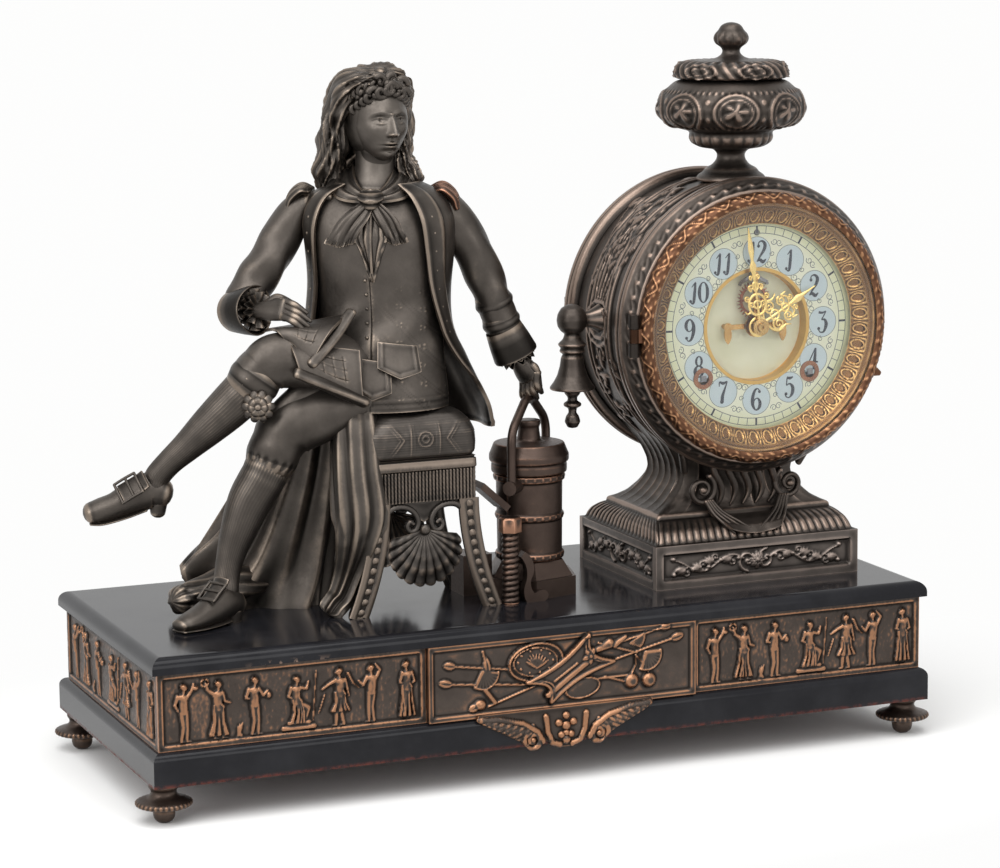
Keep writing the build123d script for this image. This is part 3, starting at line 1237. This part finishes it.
screw_column = turned(
    [
        (0, 0, 0),
        (SCREW_RADIUS, 0, 0),
        (SCREW_RADIUS, SCREW_HEIGHT - 9.0, 0),
        (SCREW_RADIUS + 1.4, SCREW_HEIGHT - 9.0, 0),
        (SCREW_RADIUS + 1.4, SCREW_HEIGHT - 1.0, 0.3),
        (SCREW_RADIUS, SCREW_HEIGHT, 0),
        (0, SCREW_HEIGHT, 0),
    ],
    SCREW_X,
    SCREW_Y,
    TOP_Z,
)
BRACKET_X = SCREW_X + 11.0
with BuildPart() as scroll_bracket_blank:
    with BuildSketch(facing_front(SCREW_Y + 3.0)):
        with Locations((BRACKET_X, TOP_Z)):
            add(
                outline(
                    [
                        (-5.5, 27.0, -2.0),
                        (-2.5, 12.0, 1.5),
                        (-2.0, 0, 0),
                        (9.0, 0, 2.0),
                        (10.0, 6.0, 1.0),
                        (3.0, 5.0, -2.0),
                        (2.0, 16.0, 2.5),
                        (-3.0, 30.0, 0),
                    ]
                )
            )
    extrude(amount=6.0)
scroll_bracket = less(scroll_bracket_blank.part, boiler_base.part, boiler_body, screw_column)
with BuildPart() as tool_block_blank:
    with BuildSketch(Plane.XY.offset(TOP_Z)):
        with Locations((BOILER_X - 33.0, BOILER_Y + 10.0)):
            Rectangle(18.0, 20.0)
    extrude(amount=24.0)
tool_block = less(tool_block_blank.part, boiler_base.part)
with BuildPart() as leaning_book_blank:
    book_place = (BOILER_X - 27.5, BOILER_Y - 2.0, TOP_Z + 58.0)
    with BuildSketch(Plane(origin=book_place, x_dir=(0.74, 0, -0.67), z_dir=(0.67, 0, 0.74))):
        Rectangle(22.0, 20.0)
    extrude(amount=4.0)
leaning_book = less(leaning_book_blank.part, boiler_body, stool_seat.part)

# Seated figure, set out from the seat
FIGURE_X = STOOL_X - 14.0
FIGURE_Y = STOOL_Y + 14.0


def at(dx, dy, dz):
    """A point of the figure, measured from the middle of the seat."""
    return (FIGURE_X + dx, FIGURE_Y + dy, SEAT_Z + dz)


def on_base(dx, dy, dz):
    """A point of the figure's standing foot, measured from the base top."""
    return (FIGURE_X + dx, FIGURE_Y + dy, TOP_Z + dz)


def joined(*pieces):
    """Fuse the stretches of one limb."""
    with BuildPart() as whole:
        for piece in pieces:
            add(piece)
    return whole.part


def ball(centre, radius):
    """A round joint between two stretches of a limb."""
    with BuildPart() as sphere:
        with Locations(centre):
            Sphere(radius)
    return sphere.part


seat_pieces = [stool_cushion.part, stool_seat.part, stool_legs.part]
figure_torso = less(
    joined(
        limb(
            [
                (at(-3, -5, -2), 42, 27),
                (at(-2, -4, 25), 38, 25),
                (at(0, 0, 62), 36, 20),
                (at(0, 2, 97), 40, 21),
                (at(0, 3, 117), 41, 16),
                (at(0, 2, 128), 24, 13),
                (at(0, -1, 134), 13, 11),
            ]
        ),
        limb(
            [
                (at(-5, -13, 126), 8, 7),
                (at(-7, -19, 110), 11, 5),
                (at(-8, -21, 92), 12, 4),
                (at(-8, -21, 76), 4, 2.5),
            ]
        ),
    ),
    *seat_pieces,
)
figure_head = less(
    joined(
        limb(
            [
                (at(0, -2, 131), 10.5, 10.5),
                (at(1, -3, 143), 11, 12),
                (at(3, -8, 151), 13, 17),
                (at(5, -8, 160), 16.5, 21),
                (at(6, -7, 172), 18, 22),
                (at(6, -5, 185), 15, 19),
                (at(6, -4, 192), 5, 7),
            ]
        ),
        limb(
            [
                (at(-2, 7, 131), 21, 9),
                (at(-1, 7, 150), 27, 13),
                (at(2, 6, 170), 27, 17),
                (at(5, 2, 186), 22, 20),
                (at(6, 0, 193), 13, 13),
                (at(6, 0, 195), 4, 4),
            ]
        ),
    ),
    figure_torso,
)

# Legs: the left stands on the base, the right is crossed over it
LEFT_KNEE = at(-63, -17, -4)
LEFT_ANKLE = on_base(-96, -18, 22)
figure_left_leg = less(
    joined(
        limb([(at(8, -20, 8), 17, 17), (at(-28, -19, 4), 18, 18), (LEFT_KNEE, 15, 15)]),
        ball(LEFT_KNEE, 15),
        limb([(LEFT_KNEE, 15, 15), (at(-77, -17, -42), 13.5, 14), (LEFT_ANKLE, 8, 8.5)]),
        ball(LEFT_ANKLE, 8.5),
        limb([(on_base(-91, -15, 24), 9, 9), (on_base(-95, -17, 10), 10, 9), (on_base(-97, -18, 2), 8, 8)]),
        limb(
            [
                (on_base(-88, -14, 5.5), 6.5, 7.5),
                (on_base(-104, -22, 7.5), 8.5, 9.5),
                (on_base(-120, -30, 4.5), 6.0, 9.5),
                (on_base(-130, -36, 3.5), 3.5, 5.0),
            ]
        ),
    ),
    figure_torso,
    base_top.part,
    *seat_pieces,
)
RIGHT_KNEE = at(-69, -21, 33)
RIGHT_ANKLE = at(-127, 5, -27)
figure_right_leg = less(
    joined(
        limb([(at(-10, 3, 18), 19, 19), (at(-40, -9, 26), 18, 18), (RIGHT_KNEE, 15, 15)]),
        ball(RIGHT_KNEE, 15),
        limb([(RIGHT_KNEE, 15, 15), (at(-98, -9, 3), 13, 13), (RIGHT_ANKLE, 7.5, 8)]),
        ball(RIGHT_ANKLE, 8),
        limb(
            [
                (at(-124, 6, -38), 7, 6.5),
                (at(-136, 8, -42), 9, 8.0),
                (at(-150, 11, -48), 7, 8.5),
                (at(-161, 14, -52), 3.5, 5.0),
            ]
        ),
        limb([(RIGHT_ANKLE, 7.5, 8), (at(-130, 7, -38), 9.0, 8.5), (at(-132, 7, -42), 7, 7)]),
    ),
    figure_torso,
    figure_left_leg,
    *seat_pieces,
)

# Arms: the right rests on the knee, the left grips the bail
RIGHT_ELBOW = at(-78, 20, 68)
RIGHT_WRIST = at(-66, -5, 64)
figure_right_arm = less(
    joined(
        limb([(at(-30, 9, 111), 13, 13), (at(-54, 18, 92), 14, 14), (RIGHT_ELBOW, 13.6, 13.6)]),
        ball(RIGHT_ELBOW, 14.4),
        limb([(RIGHT_ELBOW, 14, 14), (at(-71, 5, 64), 15, 14), (RIGHT_WRIST, 15, 14)]),
        limb([(at(-68, 0, 64.5), 8, 7), (at(-59, -17, 62), 6, 8), (at(-50, -26, 59), 3, 5)]),
    ),
    figure_torso,
    figure_right_leg,
)
LEFT_ELBOW = at(67, -17, 69)
GRIP = Vector(BOILER_X + 2.0, BOILER_Y, BAIL_Z + BAIL_RISE)
LEFT_WRIST = (GRIP.X - 9.0, GRIP.Y - 1.0, GRIP.Z + 20.0)
figure_left_arm = less(
    joined(
        limb([(at(30, -9, 112), 15, 15), (at(48, -13, 92), 13.5, 13.5), (LEFT_ELBOW, 12, 12)]),
        ball(LEFT_ELBOW, 12),
        limb([(LEFT_ELBOW, 12, 12), (at(77, -17, 48), 12, 12), (LEFT_WRIST, 11.5, 11.5)]),
        limb(
            [
                (LEFT_WRIST, 7.5, 7.5),
                ((GRIP.X - 2.0, GRIP.Y, GRIP.Z + 9.0), 9.5, 9),
                ((GRIP.X + 1.0, GRIP.Y, GRIP.Z - 4.0), 7, 7.5),
            ]
        ),
    ),
    figure_torso,
    boiler_bail.part,
    boiler_lid,
)
COAT_WALL = 4.0
COAT_END = 180.0
COAT_POINTS = 9
# Rise above the seat, half widths to the left, right and back of the figure, and where the front edge starts
coat_levels = [
    (-10, 67, 46, 46, 10),
    (0, 63, 45, 44, 6),
    (12, 56, 44, 40, -3),
    (27, 49, 42, 36, -18),
    (42, 43, 40.5, 31.5, -31),
    (54, 41, 40, 29.5, -37),
]
with BuildPart() as coat_blank:
    for rise, left_half, right_half, back_half, start in coat_levels:
        outer = []
        inner = []
        for step in range(COAT_POINTS):
            turn = radians(start + (COAT_END - start) * step / (COAT_POINTS - 1))
            half = left_half if cos(turn) > 0 else right_half
            outer.append((half * cos(turn), back_half * sin(turn)))
            inner.append(((half - COAT_WALL) * cos(turn), (back_half - COAT_WALL) * sin(turn)))
        with BuildSketch(Plane(origin=at(4, -2, rise), x_dir=(0.92, -0.38, 0), z_dir=(0, 0, 1))):
            with BuildLine():
                Spline(*outer)
                Line(outer[-1], inner[-1])
                Spline(*inner[::-1])
                Line(inner[0], outer[0])
            make_face()
    loft()
figure_coat = less(
    coat_blank.part,
    figure_torso,
    figure_left_arm,
    figure_right_arm,
    figure_left_leg,
    figure_right_leg,
    *seat_pieces,
)


def folded_cloth(stations, folds, fold_depth):
    """Loft rounded sections of hanging cloth whose edge waves in and out in soft folds."""
    with BuildPart() as cloth:
        for centre, half_width, half_depth in stations:
            points = []
            for step in range(4 * folds):
                turn = 2 * pi * step / (4 * folds)
                wave = 1.0 + fold_depth * cos(folds * turn)
                points.append((half_width * wave * cos(turn), half_depth * wave * sin(turn)))
            with BuildSketch(Plane(origin=centre, x_dir=(0.92, -0.38, 0), z_dir=(0, 0, 1))):
                with BuildLine():
                    Spline(*points, periodic=True)
                make_face()
        loft()
    return cloth.part


figure_drapery = less(
    folded_cloth(
        [
            (at(-38, 3, -4), 20, 10),
            (at(-46, 9, -42), 26, 11),
            (at(-60, 15, -84), 36, 12),
            (on_base(-75, 18, 0), 46, 13),
        ],
        7,
        0.09,
    ),
    figure_torso,
    figure_left_leg,
    figure_right_leg,
    *seat_pieces,
)
stool_drape = less(
    folded_cloth(
        [
            (at(-22, -30, -4), 13, 10),
            (at(-24, -36, -30), 14, 9),
            (at(-24, -40, -54), 15, 7),
            (at(-25, -41, -70), 14, 6),
        ],
        5,
        0.09,
    ),
    figure_torso,
    figure_left_leg,
    figure_right_leg,
    figure_drapery,
    *seat_pieces,
)
with BuildPart() as papers_blank:
    with BuildSketch(Plane(origin=at(-40, -34, 21), x_dir=(0.82, -0.22, -0.53), z_dir=(-0.35, -0.65, 0.67))):
        Rectangle(48.0, 26.0)
    extrude(amount=5.0)
lap_papers = less(
    papers_blank.part,
    figure_torso,
    figure_right_leg,
    figure_left_leg,
    figure_right_arm,
    stool_drape,
)

# Every finished piece, under the name of its node
pieces = {
    "base_plinth": [base_plinth.part],
    "feet": [feet.part],
    "base_core": [base_core.part],
    "base_top": [base_top.part],
    "front_friezes": [front_friezes.part],
    "side_friezes": [side_friezes.part],
    "trophy_plaque": [trophy_plaque.part],
    "clock_plinth": [clock_plinth.part],
    "clock_pedestal": [clock_pedestal.part],
    "drum_case": [drum_case.part],
    "urn_bowl": [urn_bowl],
    "urn_lid": [urn_lid],
    "side_drop": side_drop,
    "bezel_ring": [bezel_ring.part],
    "bezel_glass": [bezel_glass.part],
    "bezel_trim": [bezel_trim],
    "rear_cover": [rear_cover.part],
    "hinge_pins": [hinge_pins.part],
    "dial_pan": [dial_pan.part],
    "dial_ring": [dial_ring.part],
    "dial_well": [dial_well.part],
    "winding_grommets": [winding_grommets.part],
    "escapement_bridge": [escapement_bridge.part],
    "escape_wheel": [escape_wheel.part],
    "pallet_anchor": [pallet_anchor.part],
    "front_plate": [front_plate.part],
    "back_plate": [back_plate.part],
    "plate_pillars": [plate_pillars.part],
    "mainsprings": [mainsprings.part],
    "time_winding_arbor": [time_winding_arbor],
    "strike_winding_arbor": [strike_winding_arbor],
    "regulator_arbor": [regulator_arbor.part],
    "cannon_pinion": [cannon_pinion.part],
    "minute_wheel": [minute_wheel.part],
    "hour_wheel": [hour_wheel.part],
    "hour_hand": [hour_hand.part],
    "minute_hand": [minute_hand.part],
    "hand_nut": [hand_nut],
    "pendulum": [pendulum.part],
    "gong": [gong.part],
    "gong_stand": [gong_stand],
    "hammer": [hammer.part],
    "stool_cushion": [stool_cushion.part],
    "stool_seat": [stool_seat.part],
    "stool_frame": stool_frame,
    "boiler_base": [boiler_base.part],
    "boiler_body": [boiler_body],
    "boiler_lid": [boiler_lid],
    "boiler_bail": [boiler_bail.part],
    "screw_column": [screw_column],
    "boiler_tools": [scroll_bracket, tool_block, leaning_book],
    "figure_torso": [figure_torso],
    "figure_head": [figure_head],
    "figure_left_leg": [figure_left_leg],
    "figure_right_leg": [figure_right_leg],
    "figure_right_arm": [figure_right_arm],
    "figure_left_arm": [figure_left_arm],
    "figure_coat": [figure_coat],
    "figure_drapery": [figure_drapery, stool_drape],
    "lap_papers": [lap_papers],
}
os.makedirs("parts", exist_ok=True)
for name, solids in pieces.items():
    with BuildPart() as node:
        add(solids)
    node.part.label = name
    export_step(node.part, f"parts/{name}.step")
